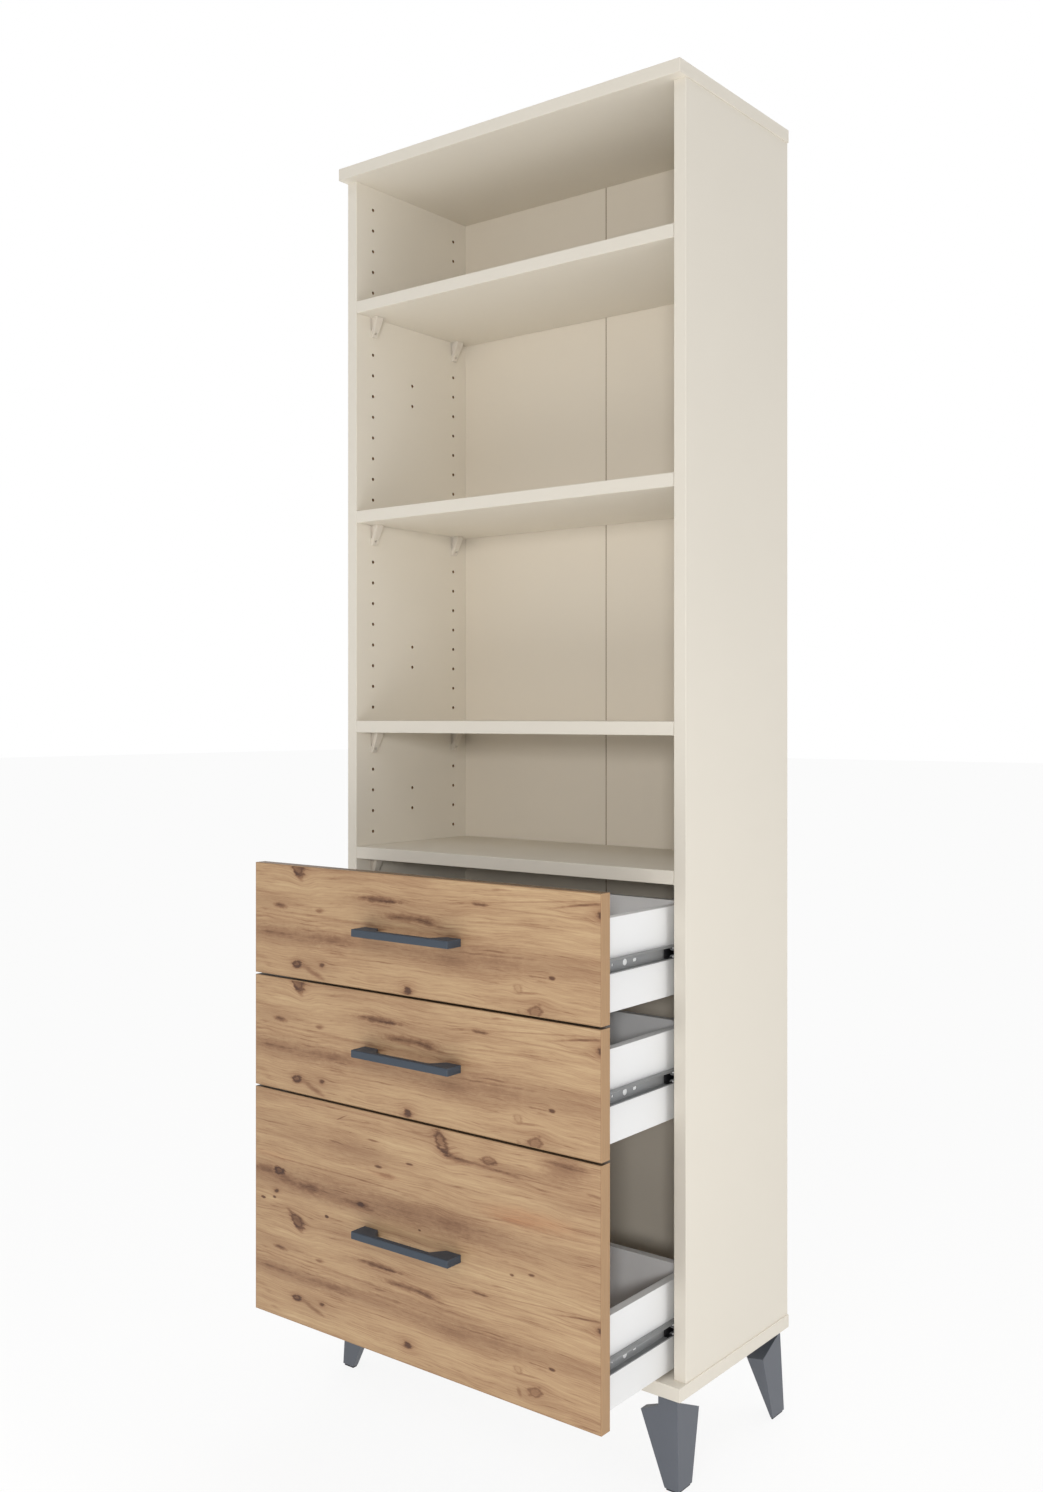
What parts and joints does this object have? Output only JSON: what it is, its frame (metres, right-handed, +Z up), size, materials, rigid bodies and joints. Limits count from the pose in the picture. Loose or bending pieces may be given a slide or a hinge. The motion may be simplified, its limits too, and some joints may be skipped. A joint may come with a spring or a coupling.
{
  "type": "bookcase with drawers",
  "caption": "Tall narrow free-standing bookcase: open adjustable shelves above, wood-fronted drawers on ball-bearing slides below, raised on faceted feet.",
  "frame": {"origin": "on the floor, in the middle of the area that the bookcase covers with its drawers pulled out", "axes": "+X to the right seen from the front, +Y to the back, +Z up"},
  "size_m": [0.604, 0.494, 1.824],
  "materials": {
    "cashmere_board": "satin melamine-faced chipboard, cashmere beige",
    "back_board": "thin lacquered fibreboard",
    "oak_decor": "knotty oak decor with horizontal grain, matt",
    "white_board": "white melamine-faced board",
    "dowel_wood": "beech",
    "slide_steel": "zinc-plated sheet",
    "screw_steel": "zinc-plated",
    "cam_zinc": "die-cast zinc",
    "cage_plastic": "moulded black",
    "handle_finish": "dark blue-grey powder coat",
    "foot_plastic": "moulded grey-blue",
    "support_plastic": "moulded beige",
    "glide_plastic": "soft floor glide",
    "tape": "adhesive hinge tape"
  },
  "bodies": {
    "carcass": {"top_panel": "cashmere_board", "bottom_panel": "cashmere_board", "left_side_panel": "cashmere_board", "right_side_panel": "cashmere_board", "top_panel_screws": "screw_steel", "bottom_panel_screws": "screw_steel", "panel_dowels": "dowel_wood", "back_board_left": "back_board", "back_board_right": "back_board", "back_board_tape": "tape", "shelf_upper": "cashmere_board", "shelf_middle": "cashmere_board", "shelf_lower": "cashmere_board", "shelf_over_drawers": "cashmere_board", "shelf_supports": "support_plastic", "foot_front_left": "foot_plastic", "foot_front_right": "foot_plastic", "foot_rear_left": "foot_plastic", "foot_rear_right": "foot_plastic", "foot_glides": "glide_plastic", "foot_screws": "screw_steel", "carcass_rails_lower": "slide_steel", "carcass_rails_middle": "slide_steel", "carcass_rails_upper": "slide_steel", "carcass_rail_screws": "screw_steel"},
    "drawer_upper": {"drawer_upper_front": "oak_decor", "drawer_upper_handle": "handle_finish", "drawer_upper_handle_screws": "screw_steel", "drawer_upper_right_side": "white_board", "drawer_upper_left_side": "white_board", "drawer_upper_back": "white_board", "drawer_upper_bottom": "white_board", "drawer_upper_cam_locks": "cam_zinc", "drawer_upper_rails": "slide_steel", "drawer_upper_rail_screws": "screw_steel"},
    "cages_upper": {"ball_cages_upper": "cage_plastic"},
    "drawer_middle": {"drawer_middle_front": "oak_decor", "drawer_middle_handle": "handle_finish", "drawer_middle_handle_screws": "screw_steel", "drawer_middle_right_side": "white_board", "drawer_middle_left_side": "white_board", "drawer_middle_back": "white_board", "drawer_middle_bottom": "white_board", "drawer_middle_cam_locks": "cam_zinc", "drawer_middle_rails": "slide_steel", "drawer_middle_rail_screws": "screw_steel"},
    "cages_middle": {"ball_cages_middle": "cage_plastic"},
    "drawer_lower": {"drawer_lower_front": "oak_decor", "drawer_lower_handle": "handle_finish", "drawer_lower_handle_screws": "screw_steel", "drawer_lower_right_side": "white_board", "drawer_lower_left_side": "white_board", "drawer_lower_back": "white_board", "drawer_lower_bottom": "white_board", "drawer_lower_cam_locks": "cam_zinc", "drawer_lower_rails": "slide_steel", "drawer_lower_rail_screws": "screw_steel"},
    "cages_lower": {"ball_cages_lower": "cage_plastic"}
  },
  "joints": [
    {"name": "drawer_upper_slide", "type": "slide", "parent": "carcass", "child": "drawer_upper", "axis": [0, -1, 0], "range_m": [-0.17, 0.009]},
    {"name": "cages_upper_slide", "type": "slide", "parent": "carcass", "child": "cages_upper", "axis": [0, -1, 0], "range_m": [-0.085, 0.0045]},
    {"name": "drawer_middle_slide", "type": "slide", "parent": "carcass", "child": "drawer_middle", "axis": [0, -1, 0], "range_m": [-0.17, 0.009]},
    {"name": "cages_middle_slide", "type": "slide", "parent": "carcass", "child": "cages_middle", "axis": [0, -1, 0], "range_m": [-0.085, 0.0045]},
    {"name": "drawer_lower_slide", "type": "slide", "parent": "carcass", "child": "drawer_lower", "axis": [0, -1, 0], "range_m": [-0.17, 0.009]},
    {"name": "cages_lower_slide", "type": "slide", "parent": "carcass", "child": "cages_lower", "axis": [0, -1, 0], "range_m": [-0.085, 0.0045]}
  ],
  "couplings": [
    {"joint": "cages_upper_slide", "follows": "drawer_upper_slide", "ratio": 0.5},
    {"joint": "cages_middle_slide", "follows": "drawer_middle_slide", "ratio": 0.5},
    {"joint": "cages_lower_slide", "follows": "drawer_lower_slide", "ratio": 0.5}
  ]
}
